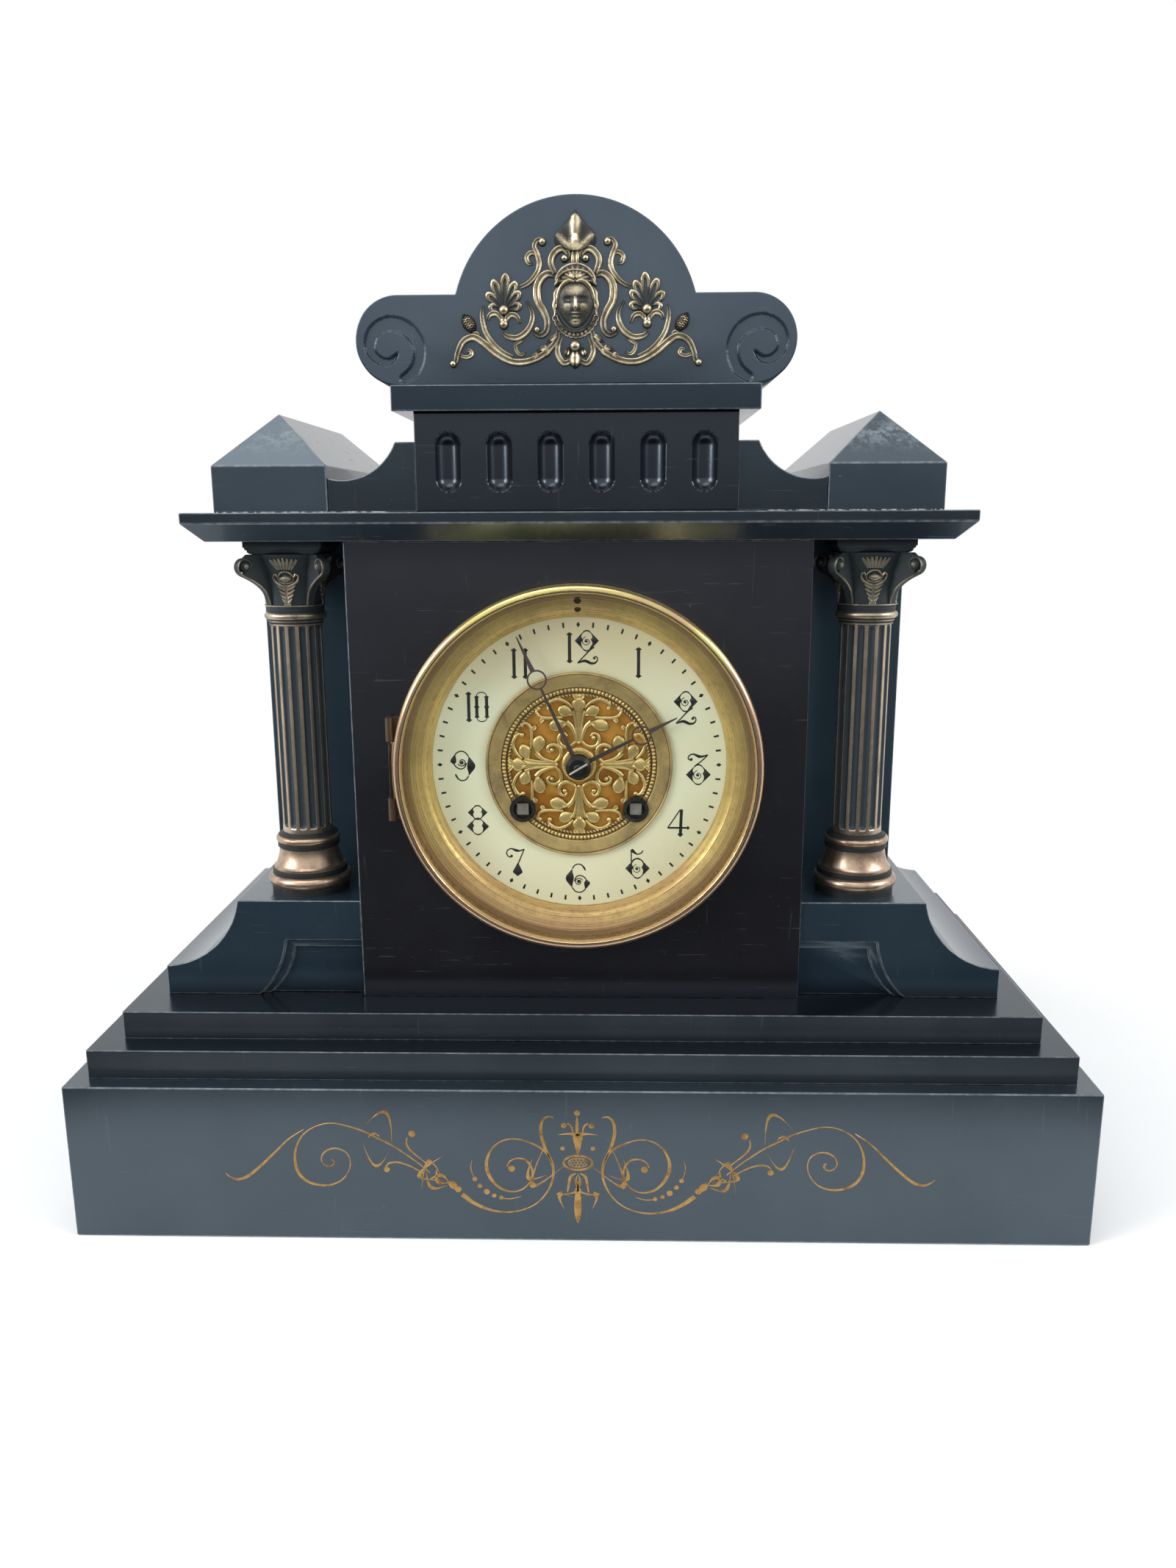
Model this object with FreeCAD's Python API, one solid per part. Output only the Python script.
# Black slate mantel clock with two fluted columns, a crested pediment and a round brass
# eight-day movement that strikes on a bell.
# Millimetres. X runs to the right, Y from the front to the back, Z up.
# While it is modelled, Y is counted from the front of the plinth. Each piece moves to the
# object's own frame when it is written: the middle of the footprint, on the resting face.
import FreeCAD, Part
import math
import os

V = FreeCAD.Vector
os.makedirs("parts", exist_ok=True)

# Overrun of every cutting tool, and the running clearances.
overrun = 2.0
running_clearance = 0.05
hinge_clearance = 0.3
seat_clearance = 0.2

# Slate case: plinth and its two steps.
case_depth = 176.0
plinth_height = 64.0
plinth_wall = 18.0
plinth_top = 12.0
middle_step_setback = 7.5
middle_step_height = 12.0
upper_step_setback = 11.0
upper_step_height = 11.5
upper_ledge = 12.0
well_width = 130.0

# Slate case: the two blocks that carry the columns.
cove_spread = 31.0
block_top_margin = 5.3
block_front = 37.0
block_height = 40.3
block_edge_height = 12.3
cove_sag = 7.5
carving_step = 1.6
carving_band = 3.2
carving_height = 23.5
carving_reach = 31.5
carving_spread = 14.0
carving_sag = 3.0

# Slate case: the projecting middle bay and the body behind the columns.
bay_front = 35.8
bay_room = 10.0
panel_thickness = 20.0
bay_wall = 10.4
recess_front = 83.5
slab_thickness = 16.0
recess_width = 44.8
column_height = 142.1

# Cornice.
cornice_overhang = 13.4
cornice_front = 26.8
cornice_bevel = 6.6
cornice_fascia = 4.0

# Roofed blocks over the columns.
roof_width = 42.6
roof_front = 30.0
roof_rear_margin = 4.0
roof_wall_height = 16.8
roof_rise = 19.7
hip_run = 19.0

# Fluted frieze block and its concave wings.
frieze_width = 118.0
frieze_height = 35.3
frieze_wall = 16.0
flute_count = 6
flute_pitch = 18.7
flute_width = 9.2
flute_height = 21.0
flute_depth = 4.0
wing_height = 25.0
wing_low_height = 12.3
wing_flat = 7.6
wing_sag = 5.4
wing_setback = 1.5

# Pediment shelf and scrolled crest.
shelf_side_overhang = 7.4
shelf_front_overhang = 4.0
shelf_height = 9.0
crest_front = 30.5
crest_thickness = 60.0
scroll_radius = 15.5
scroll_offset = 4.5
arch_half_width = 42.7
arch_rise = 32.5
spiral_groove = 1.4
spiral_groove_depth = 0.8

# Gilt mount on the crest.
mount_half_width = 44.4
mount_height = 52.2
mount_lift = 5.0
mount_thickness = 2.4
mount_band = 2.2
mask_half_width = 7.4
mask_half_height = 9.6
mask_relief = 4.2

# Columns.
column_offset = 24.8
column_y = 57.0
base_height = 25.0
lower_torus_radius = 16.9
upper_torus_radius = 13.0
scotia_radius = 11.9
shaft_radius = 9.9
shaft_flutes = 20
shaft_flute_depth = 0.9
capital_height = 28.4
capital_neck_radius = 9.4
astragal_radius = 11.6
astragal_height = 3.0
capital_lip_radius = 14.2
abacus_half_width = 16.0
abacus_height = 4.2
abacus_sag = 2.6
volute_radius = 4.9
volute_distance = 22.4
volute_thickness = 5.0
leaf_width = 6.4
leaf_thickness = 1.7
leaf_curl = 2.6
leaf_count = 8

# Dial: the seat ring, the enamel ring and the pressed centre.
dial_rise = 4.3
flange_radius = 70.4
flange_thickness = 2.0
drum_radius = 68.0
drum_wall = 1.4
drum_depth = 26.0
panel_hole_clearance = 0.3
sight_outer_radius = 66.4
sight_radius = 58.1
sight_depth = 8.2
sight_sag = 1.9
enamel_rebate = 1.5
enamel_thickness = 2.0
enamel_inner_radius = 34.6
medallion_radius = 36.9
medallion_rim = 1.8
medallion_step_radius = 33.2
medallion_window_radius = 28.0
medallion_web_radius = 8.6
medallion_arm_width = 9.0
backing_thickness = 1.0
dial_post_width = 8.0
dial_post_count = 4
bush_radius = 5.1
bush_bore = 3.7
bush_seat_margin = 0.4
dial_centre_hole = 4.4

# Glazed front bezel and its hinge.
bezel_radius = 71.3
bezel_depth = 8.8
bezel_lip_radius = 65.3
bezel_lip_drop = 2.2
bezel_crest_radius = 68.4
bezel_shoulder = 3.6
glass_thickness = 2.2
glass_rebate = 1.6
glass_bevel = 2.5
glass_bevel_drop = 0.7
knuckle_radius = 1.5
knuckle_gap = 0.1
pin_radius = 0.7
pin_head = 0.3
front_knuckle_half = 11.2
front_knuckle_end = 9.0
rear_knuckle_half = 9.0
rear_knuckle_end = 8.0

# Rear ring and rear door.
rear_hole_radius = 62.0
rear_flange_radius = 68.0
rear_flange_thickness = 1.8
rear_ring_wall = 1.6
rear_ring_depth = 6.0
rear_opening_radius = 48.0
rear_shelf_thickness = 2.0
door_radius = 63.0
door_thickness = 1.6
door_dome_radius = 50.0
door_dome_rise = 2.4
door_knob_radius = 3.0
door_knob_rise = 3.0

# Straps that draw the dial ring and the rear ring together.
strap_width = 10.0
strap_thickness = 2.0
strap_foot = 14.0
strap_screw_radius = 1.6
strap_screw_head_radius = 3.4
strap_screw_head_height = 2.2

# Movement frame.
plate_radius = 46.0
plate_thickness = 3.0
plate_front = 56.0
plate_gap = 34.0
pillar_radius = 2.8
pillar_circle = 42.4
pillar_angles = (62.0, 181.0, 270.0, 359.0)
ear_width = 7.0
ear_radius = 62.5

# Winding arbors, barrels and ratchets.
winding_x = 22.5
winding_drop = 18.0
winding_square = 4.6
square_front = 41.5
barrel_arbor_radius = 3.3
barrel_core_radius = 4.4
barrel_wall = 1.5
barrel_radius = 19.4
barrel_length = 20.0
barrel_front = 64.0
great_wheel_width = 2.4
ratchet_radius = 7.6
ratchet_root_radius = 6.6
ratchet_width = 2.2
ratchet_teeth = 18
ratchet_standoff = 0.4

# Tooth forms as shares of the module or of the circular pitch.
addendum_share = 0.70
dedendum_share = 1.50
tip_half_share = 0.06

# Wheel counts and modules.
great_teeth = 60
second_pinion_teeth = 10
great_module = 0.72
second_teeth = 50
centre_pinion_teeth = 10
second_module = 0.60
centre_teeth = 72
third_pinion_teeth = 6
centre_module = 0.42
third_teeth = 60
escape_pinion_teeth = 6
third_module = 0.40
escape_teeth = 40
escape_radius = 11.2
escape_root_radius = 9.6
cannon_teeth = 10
minute_wheel_teeth = 30
minute_pinion_teeth = 8
hour_teeth = 32
motion_module = 0.60
strike_second_teeth = 50
pin_pinion_teeth = 10
strike_second_module = 0.50
pin_teeth = 60
fly_pinion_teeth = 6
pin_module = 0.36

# Wheel widths, arbors and places between the plates, counted from the front plate's back.
wheel_width = 1.2
pinion_overlap = 0.5
arbor_radius = 1.2
thin_arbor_radius = 0.55
centre_arbor_radius = 1.4
pivot_radius = 0.5
shoulder_gap = 0.2
centre_wheel_place = 1.0
escape_place = 5.5
third_place = 13.5
second_wheel_place = 29.6
pin_wheel_place = 21.5
pin_count = 10
pin_circle = 8.4
lifting_pin_radius = 0.45
lifting_pin_length = 2.4
fly_place = 9.5
fly_length = 11.0
fly_half_width = 6.6
fly_blade = 0.8
strike_second_angle = 99.8
pin_wheel_angle = 75.0
fly_angle = 80.0

# Motion work and hands, in front of the front plate.
minute_pipe_radius = 2.3
hour_pipe_radius = 3.2
minute_stud_radius = 1.0
motion_gap = 2.4
motion_width = 1.6
hour_wheel_gap = 2.2
hour_hand_front = 38.3
hour_hand_thickness = 0.6
minute_hand_front = 36.0
minute_hand_thickness = 0.6
hand_boss_radius = 3.9
hand_boss_height = 1.2
minute_hand_angle = -24.8
minute_hand_length = 56.2
minute_moon_distance = 37.9
hour_hand_angle = 63.4
hour_hand_length = 42.9
hour_moon_distance = 27.5
moon_radius = 3.9
moon_wall = 0.65
hand_root_width = 1.9
hand_neck_width = 0.9
hand_point_width = 0.35
collet_radius = 4.9
collet_height = 2.2
taper_pin_radius = 0.45
taper_pin_length = 7.4
arbor_nose_radius = 1.1
arbor_nose_reach = 1.1

# Escapement, crutch, suspension and pendulum.
escape_height = 20.0
pallet_height = 36.0
pallet_clearance = 1.6
pallet_reach_angle = 38.0
pallet_arm_width = 2.6
pallet_hub_radius = 2.6
pallet_arbor_radius = 1.0
crutch_length = 30.0
crutch_width = 2.2
crutch_thickness = 1.4
crutch_standoff = 1.2
fork_prong = 1.2
fork_clearance = 0.35
fork_height = 3.0
suspension_height = 43.0
pendulum_y = 107.0
bob_lift = 25.0
rod_radius = 1.2
strip_thickness = 0.6
strip_width = 5.0
strip_length = 9.0
suspension_pin_radius = 1.0
hook_size = 5.0
bob_radius = 15.5
bob_thickness = 8.0
bob_edge = 2.4
nut_radius = 3.0
nut_height = 2.4
cock_width = 14.0
cock_cheek = 3.0
cock_slot = 6.4
cock_drop = 5.0
cock_rise = 6.0
cock_bridge = 2.5
tower_width = 9.0
tower_depth = 4.0

# Regulator arbor, reached through the dial ring above the figure twelve.
regulator_radius = 64.6
regulator_arbor_radius = 1.1
regulator_square = 1.5
regulator_square_length = 3.0
regulator_front = 37.6
regulator_collar_radius = 1.8
regulator_collar_width = 1.5

# Count wheel, hammer and bell behind the back plate.
count_wheel_radius = 13.6
count_notch_depth = 1.6
count_notch_width = 1.2
count_divisions = 90
count_wheel_standoff = 2.0
hammer_angle = 166.5
hammer_arbor_distance = 14.1
hammer_tail = 4.2
hammer_arm_width = 3.0
hammer_arm_thickness = 1.6
hammer_standoff = 5.4
hammer_head_radius = 3.4
hammer_head_length = 8.0
hammer_neck_radius = 1.5
bell_radius = 31.0
bell_wall = 1.8
bell_height = 19.0
bell_drop = 8.0
bell_front = 117.0
bell_hammer_gap = 0.8
bell_post_x = 14.0
bell_post_drop = 24.0
bell_post_radius = 2.5
bell_arm_thickness = 3.0
bell_screw_radius = 1.5
bell_nut_radius = 4.0
bell_nut_height = 2.5

# Levels and planes that follow from the sizes above.
middle_z = plinth_height
upper_z = middle_z + middle_step_height
floor_z = upper_z + upper_step_height
block_z = floor_z + block_height
cornice_z = block_z + column_height
attic_z = cornice_z + cornice_bevel + cornice_fascia
dial_z = (floor_z + cornice_z) / 2 + dial_rise
bay_width = 2 * (drum_radius + bay_room + bay_wall)
column_x = bay_width / 2 + column_offset
body_width = bay_width + 2 * recess_width
cornice_width = body_width + 2 * cornice_overhang
block_top_width = body_width + 2 * block_top_margin
block_width = block_top_width + 2 * cove_spread
case_width = block_width + 2 * (upper_ledge + upper_step_setback + middle_step_setback)
scroll_centre = frieze_width / 2 + scroll_offset
pendulum_length = dial_z + suspension_height - middle_z - bob_lift
shelf_z = attic_z + frieze_height
crest_z = shelf_z + shelf_height
attic_rear = case_depth - roof_rear_margin
panel_back = bay_front + panel_thickness
back_slab_front = case_depth - slab_thickness
flange_front = bay_front - flange_thickness
bezel_back = flange_front - hinge_clearance
bezel_front = bezel_back - bezel_depth
enamel_front = flange_front + sight_depth
backing_front = enamel_front + enamel_thickness
backing_back = backing_front + backing_thickness
plate_back = plate_front + plate_thickness
rear_plate_front = plate_back + plate_gap
rear_plate_back = rear_plate_front + plate_thickness
rear_face = case_depth + rear_flange_thickness
door_front = rear_face + hinge_clearance
door_back = door_front + door_thickness
overall_depth = door_back + door_knob_rise


def at(x, y, z):
    return V(x, y, z)


def save(node, *solids):
    """Write one sub-part, moved so that the footprint's middle is the origin."""
    shape = solids[0] if len(solids) == 1 else Part.makeCompound(list(solids))
    shape = shape.copy()
    shape.translate(V(0, -overall_depth / 2, 0))
    shape.exportStep("parts/" + node + ".step")
    pieces = shape.Solids
    bad = [p for p in pieces if not p.isValid()]
    print(node, len(pieces), "solid" if not bad else "INVALID", round(shape.Volume))


def block(x0, x1, y0, y1, z0, z1):
    return Part.makeBox(x1 - x0, y1 - y0, z1 - z0, at(x0, y0, z0))


def outline(points):
    """Closed wire. A point is a corner, and a pair of points is an arc: its middle, its end."""
    edges = []
    here = points[0]
    for entry in points[1:] + [points[0]]:
        if isinstance(entry, tuple):
            edges.append(Part.Arc(here, entry[0], entry[1]).toShape())
            here = entry[1]
        elif not here.isEqual(entry, seat_clearance / 1000):
            edges.append(Part.LineSegment(here, entry).toShape())
            here = entry
    return Part.Wire(edges)


def plate_xz(points, y, thickness):
    """A slab seen from the front, from an outline in X and Z at depth y."""
    flat = [(at(p[0][0], y, p[0][1]), at(p[1][0], y, p[1][1])) if isinstance(p[0], tuple)
            else at(p[0], y, p[1]) for p in points]
    return Part.Face(outline(flat)).extrude(V(0, thickness, 0))


def turned_y(profile, x, z):
    """A body of revolution about the front-to-back axis through x, z. Points are radius and y."""
    flat = [(at(x + p[0][0], p[0][1], z), at(x + p[1][0], p[1][1], z)) if isinstance(p[0], tuple)
            else at(x + p[0], p[1], z) for p in profile]
    return Part.Face(outline(flat)).revolve(at(x, 0, z), V(0, 1, 0), 360)


def turned_z(profile, x, y):
    """A body of revolution about the upright axis through x, y. Points are radius and z."""
    flat = [(at(x + p[0][0], y, p[0][1]), at(x + p[1][0], y, p[1][1])) if isinstance(p[0], tuple)
            else at(x + p[0], y, p[1]) for p in profile]
    return Part.Face(outline(flat)).revolve(at(x, y, 0), V(0, 0, 1), 360)


def rod_y(radius, y0, y1, x, z):
    return Part.makeCylinder(radius, y1 - y0, at(x, y0, z), V(0, 1, 0))


def rod_z(radius, z0, z1, x, y):
    return Part.makeCylinder(radius, z1 - z0, at(x, y, z0), V(0, 0, 1))


def tube_y(outer, inner, y0, y1, x, z):
    return rod_y(outer, y0, y1, x, z).cut(rod_y(inner, y0 - overrun, y1 + overrun, x, z))


def mirrored(shape):
    """The same piece on the other side of the middle plane."""
    return shape.mirror(V(0, 0, 0), V(1, 0, 0))


def joined(shapes):
    whole = shapes[0].fuse(shapes[1:])
    return whole.removeSplitter()


def bulge(start, end, sag):
    """Middle point of an arc that leaves the chord by sag, to the right of its direction."""
    run = end[0] - start[0]
    rise = end[1] - start[1]
    chord = math.hypot(run, rise)
    middle_x = (start[0] + end[0]) / 2 + sag * rise / chord
    middle_z = (start[1] + end[1]) / 2 - sag * run / chord
    return middle_x, middle_z


def polar(x, z, radius, degrees):
    """A point at an angle measured from the right, anticlockwise as seen from the front."""
    turn = math.radians(degrees)
    return x + radius * math.cos(turn), z + radius * math.sin(turn)


def crossing(p, p_radius, q, q_radius, side):
    """Where two circles cross, on the side of the line from p to q that side tells."""
    gap = math.dist(p, q)
    along = (gap * gap + p_radius * p_radius - q_radius * q_radius) / (2 * gap)
    across = side * math.sqrt(p_radius * p_radius - along * along)
    ux = (q[0] - p[0]) / gap
    uz = (q[1] - p[1]) / gap
    return p[0] + along * ux - across * uz, p[1] + along * uz + across * ux


def bearing(p, q):
    return math.degrees(math.atan2(q[1] - p[1], q[0] - p[0]))


# Slate case.

def slate_base():
    half = case_width / 2
    plinth = block(-half, half, 0, case_depth, 0, plinth_height)
    hollow = block(-half + plinth_wall, half - plinth_wall, plinth_wall,
                   case_depth - plinth_wall, -overrun, plinth_height - plinth_top)
    save("plinth", plinth.cut(hollow))
    well = block(-well_width / 2, well_width / 2, panel_back, back_slab_front,
                 middle_z - overrun, floor_z + overrun)
    half -= middle_step_setback
    front = middle_step_setback
    step = block(-half, half, front, case_depth, middle_z, upper_z)
    save("middle_step", step.cut(well))
    half -= upper_step_setback
    front += upper_step_setback
    step = block(-half, half, front, case_depth, upper_z, floor_z)
    save("upper_step", step.cut(well))


def column_plinth():
    """The right-hand block: a cove down its side, and a sunk stepped panel on its front."""
    foot = (block_width / 2, floor_z)
    edge = (block_width / 2, floor_z + block_edge_height)
    top = (block_top_width / 2, block_z)
    inner = bay_width / 2
    body = plate_xz([(inner, floor_z), foot, edge, (bulge(edge, top, -cove_sag), top),
                     (inner, block_z)], block_front, case_depth - block_front)
    for step in (0, 1):
        inset = step * carving_band
        corner = (inner + carving_reach - inset, floor_z + carving_height - inset)
        toe = (corner[0] + carving_spread, floor_z - overrun)
        sunk = plate_xz([(inner - overrun, floor_z - overrun), toe,
                         (bulge(toe, corner, -carving_sag), corner),
                         (inner - overrun, corner[1])],
                        block_front - overrun, overrun + carving_step * (step + 1))
        body = body.cut(sunk)
    save("right_column_plinth", body)
    save("left_column_plinth", mirrored(body))


def slate_body():
    half = bay_width / 2
    panel = block(-half, half, bay_front, panel_back, floor_z, cornice_z)
    hole = rod_y(drum_radius + panel_hole_clearance, bay_front - overrun,
                 panel_back + overrun, 0, dial_z)
    save("front_panel", panel.cut(hole))
    side = body_width / 2
    cheek = block(half - bay_wall, half, panel_back, back_slab_front, floor_z, cornice_z)
    recess = block(half, side, recess_front, recess_front + slab_thickness, block_z, cornice_z)
    flank = block(side - slab_thickness, side, recess_front + slab_thickness,
                  back_slab_front, block_z, cornice_z)
    save("right_side_slabs", cheek, recess, flank)
    save("left_side_slabs", mirrored(cheek), mirrored(recess), mirrored(flank))
    back = joined([block(-side, side, back_slab_front, case_depth, block_z, cornice_z),
                   block(-half, half, back_slab_front, case_depth, floor_z, cornice_z)])
    hole = rod_y(rear_hole_radius + panel_hole_clearance, back_slab_front - overrun,
                 case_depth + overrun, 0, dial_z)
    save("back_slab", back.cut(hole))


def cornice():
    """A slab with a thin upright edge and a bevel that draws in under it, flush at the back."""
    half = cornice_width / 2
    low_half = half - cornice_bevel
    low_front = cornice_front + cornice_bevel
    bevel_top = cornice_z + cornice_bevel
    fascia = block(-half, half, cornice_front, case_depth, bevel_top, attic_z)
    low = [at(-low_half, low_front, cornice_z), at(low_half, low_front, cornice_z),
           at(low_half, case_depth, cornice_z), at(-low_half, case_depth, cornice_z)]
    high = [at(-half, cornice_front, bevel_top), at(half, cornice_front, bevel_top),
            at(half, case_depth, bevel_top), at(-half, case_depth, bevel_top)]
    bevel = Part.makeLoft([outline(low), outline(high)], True, True)
    save("cornice", joined([fascia, bevel]))


def roof_block():
    """A block with a hipped roof whose ridge runs from front to back, over the right column."""
    left = column_x - roof_width / 2
    right = column_x + roof_width / 2
    eaves = attic_z + roof_wall_height
    ridge = eaves + roof_rise
    walls = block(left, right, roof_front, attic_rear, attic_z, eaves)
    section = plate_xz([(left, eaves), (right, eaves), (column_x, ridge)],
                       roof_front, attic_rear - roof_front)
    for y, inward in ((roof_front, 1), (attic_rear, -1)):
        away = y - inward * overrun
        lean = inward * hip_run * (roof_rise + overrun) / roof_rise
        wedge = outline([at(left - overrun, y, eaves),
                         at(left - overrun, y + lean, ridge + overrun),
                         at(left - overrun, away, ridge + overrun),
                         at(left - overrun, away, eaves)])
        section = section.cut(Part.Face(wedge).extrude(V(roof_width + 2 * overrun, 0, 0)))
    body = joined([walls, section])
    save("right_roof_block", body)
    save("left_roof_block", mirrored(body))


def frieze():
    """The fluted attic block, open below, with a concave bracket on each side."""
    half = frieze_width / 2
    body = block(-half, half, roof_front, attic_rear, attic_z, shelf_z)
    hollow = block(-half + frieze_wall, half - frieze_wall, roof_front + frieze_wall,
                   attic_rear - frieze_wall, attic_z - overrun, shelf_z - frieze_wall)
    body = body.cut(hollow)
    low = attic_z + (frieze_height - flute_height) / 2 + flute_width / 2
    high = low + flute_height - flute_width
    half_width = flute_width / 2
    radius = (half_width * half_width + flute_depth * flute_depth) / (2 * flute_depth)
    axis_y = roof_front + flute_depth - radius
    for index in range(flute_count):
        x = (index - (flute_count - 1) / 2) * flute_pitch
        body = body.cut(rod_z(radius, low, high, x, axis_y))
        for z in (low, high):
            body = body.cut(Part.makeSphere(radius, at(x, axis_y, z)))
    save("frieze_block", body)
    outer = column_x - roof_width / 2
    low_end = (outer, attic_z + wing_low_height)
    high_end = (half + wing_flat, attic_z + wing_height)
    wing = plate_xz([(half, attic_z), (outer, attic_z), low_end,
                     (bulge(low_end, high_end, -wing_sag), high_end),
                     (half, attic_z + wing_height)],
                    roof_front + wing_setback, attic_rear - roof_front - 2 * wing_setback)
    save("wings", wing, mirrored(wing))


def pediment():
    half = frieze_width / 2 + shelf_side_overhang
    shelf = block(-half, half, roof_front - shelf_front_overhang,
                  attic_rear + shelf_front_overhang, shelf_z, crest_z)
    save("pediment_shelf", shelf)
    flat = crest_z + 2 * scroll_radius
    middle = crest_z + scroll_radius
    crest = plate_xz([(-scroll_centre, crest_z),
                      ((-scroll_centre - scroll_radius, middle), (-scroll_centre, flat)),
                      (-arch_half_width, flat),
                      ((0, flat + arch_rise), (arch_half_width, flat)),
                      (scroll_centre, flat),
                      ((scroll_centre + scroll_radius, middle), (scroll_centre, crest_z))],
                     crest_front, crest_thickness)
    for side in (-1, 1):
        crest = crest.cut(spiral_cutter(side * (scroll_centre + scroll_radius / 4), middle, side))
    save("pediment_crest", crest)


def spiral_cutter(x, z, side):
    """A groove of half turns whose radius shrinks to the eye, as carved into a scroll end."""
    radii_shares = (0.72, 0.50, 0.32)
    groove = []
    centre = x
    for index, share in enumerate(radii_shares):
        radius = scroll_radius * share
        ring = tube_y(radius + spiral_groove / 2, radius - spiral_groove / 2,
                      crest_front - overrun, crest_front + spiral_groove_depth, centre, z)
        upper = index % 2 == 0
        low = z if upper else z - 2 * scroll_radius
        keep = block(centre - 2 * scroll_radius, centre + 2 * scroll_radius,
                     crest_front - 2 * overrun, crest_front + overrun, low,
                     low + 2 * scroll_radius)
        groove.append(ring.common(keep))
        if index + 1 < len(radii_shares):
            step = scroll_radius * (share - radii_shares[index + 1])
            centre += side * step * (1 if upper else -1)
    return groove[0].fuse(groove[1:])


def arc_band(x, z, radius, start, end, y, thickness, width):
    """A curved strip of the mount, from a start angle to an end angle, with rounded ends."""
    inner = radius - width / 2
    outer = radius + width / 2
    middle = (start + end) / 2
    strip = plate_xz([polar(x, z, inner, start), polar(x, z, outer, start),
                      (polar(x, z, outer, middle), polar(x, z, outer, end)),
                      polar(x, z, inner, end),
                      (polar(x, z, inner, middle), polar(x, z, inner, start))], y, thickness)
    caps = [rod_y(width / 2, y, y + thickness, *polar(x, z, radius, a)) for a in (start, end)]
    return strip.fuse(caps)


def gilt_mount():
    """Symmetrical scrollwork in relief round a mask, laid on the crest."""
    y = crest_front - mount_thickness
    base = crest_z + mount_lift
    mask_z = base + mount_height * 0.365
    # Centre, radius, start and end of each strip, as shares of half the width.
    strip_shares = ((0.330, -0.100, 0.225, 180, 375), (0.640, 0.060, 0.165, 20, 245),
                    (0.690, -0.075, 0.145, 200, 430), (0.800, -0.240, 0.130, 60, 300),
                    (0.350, 0.205, 0.150, -60, 190), (0.150, 0.430, 0.105, -80, 160),
                    (0.400, -0.300, 0.100, 150, 400))
    pieces = []
    for x_share, z_share, r_share, start, end in strip_shares:
        strip = arc_band(x_share * mount_half_width, mask_z + z_share * mount_half_width,
                         r_share * mount_half_width, start, end, y, mount_thickness,
                         mount_band)
        pieces += [strip, mirrored(strip)]
    # Palmettes above the mask, below it and at each side: centre, reach and lean.
    leaf_shares = ((0, 0.30, 0.46, 90), (0, -0.18, 0.26, 270), (0.540, 0.100, 0.20, 90),
                   (0.900, -0.120, 0.15, 60))
    for x_share, z_share, r_share, lean in leaf_shares:
        x = x_share * mount_half_width
        z = mask_z + z_share * mount_half_width
        reach = r_share * mount_half_width
        for spread in (-50, -25, 0, 25, 50):
            root = polar(x, z, reach / 5, lean + spread)
            tip = polar(x, z, reach * (1 - abs(spread) / 200), lean + spread)
            petal = plate_xz([root, (bulge(root, tip, reach / 10), tip),
                              (bulge(tip, root, reach / 10), root)], y, mount_thickness)
            pieces.append(petal)
            if x:
                pieces.append(mirrored(petal))
        hub = rod_y(reach / 3, y, crest_front, x, z)
        pieces.append(hub)
        if x:
            pieces.append(mirrored(hub))
    axis_y = crest_front + mask_half_width - mask_relief
    chin = mask_z - mask_half_height
    crown = mask_z + mask_half_height
    cheek = mask_z + mask_half_height / 5
    head = turned_z([(0, chin), (mask_half_width / 3, chin),
                     ((mask_half_width * 0.86, mask_z - mask_half_height / 2),
                      (mask_half_width, cheek)),
                     ((mask_half_width * 0.82, (cheek + crown * 2) / 3), (0, crown))],
                    0, axis_y)
    keep = block(-2 * mask_half_width, 2 * mask_half_width, crest_front - 2 * mask_relief,
                 crest_front, chin - mask_relief, crown + mask_relief)
    pieces.append(head.common(keep))
    save("pediment_mount", joined(pieces))


# Columns.

def column():
    """The right-hand column: turned base, fluted shaft and leafed capital."""
    z = block_z
    low = base_height * 0.34
    neck = base_height * 0.62
    base = turned_z([(0, z), (lower_torus_radius * 0.93, z),
                     ((lower_torus_radius, z + low / 2), (lower_torus_radius * 0.93, z + low)),
                     (scotia_radius + 1.4 * seat_clearance, z + low + base_height * 0.05),
                     ((scotia_radius, (z + low + z + neck) / 2),
                      (upper_torus_radius * 0.96, z + neck)),
                     ((upper_torus_radius, z + base_height * 0.76),
                      (upper_torus_radius * 0.93, z + base_height * 0.90)),
                     (shaft_radius + seat_clearance, z + base_height), (0, z + base_height)],
                    column_x, column_y)
    save("right_column_base", base)
    save("left_column_base", mirrored(base))
    foot = z + base_height
    head = cornice_z - capital_height
    step = 360 / shaft_flutes
    points = []
    for index in range(shaft_flutes):
        angle = index * step
        points.append(polar(column_x, column_y, shaft_radius, angle))
        points.append(polar(column_x, column_y, shaft_radius, angle + step * 0.25))
        far = polar(column_x, column_y, shaft_radius, angle + step)
        groove = polar(column_x, column_y, shaft_radius - shaft_flute_depth,
                       angle + step * 0.625)
        points.append((groove, far))
    ring = [at(points[0][0], points[0][1], foot)]
    for entry in points[1:]:
        if isinstance(entry[0], tuple):
            ring.append((at(entry[0][0], entry[0][1], foot), at(entry[1][0], entry[1][1], foot)))
        elif not ring_end(ring).isEqual(at(entry[0], entry[1], foot), seat_clearance / 1000):
            ring.append(at(entry[0], entry[1], foot))
    shaft = Part.Face(outline(ring)).extrude(V(0, 0, head - foot))
    save("right_column_shaft", shaft)
    save("left_column_shaft", mirrored(shaft))
    crown = capital(head)
    save("right_column_capital", crown)
    save("left_column_capital", mirrored(crown))


def ring_end(ring):
    return ring[-1][1] if isinstance(ring[-1], tuple) else ring[-1]


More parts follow.
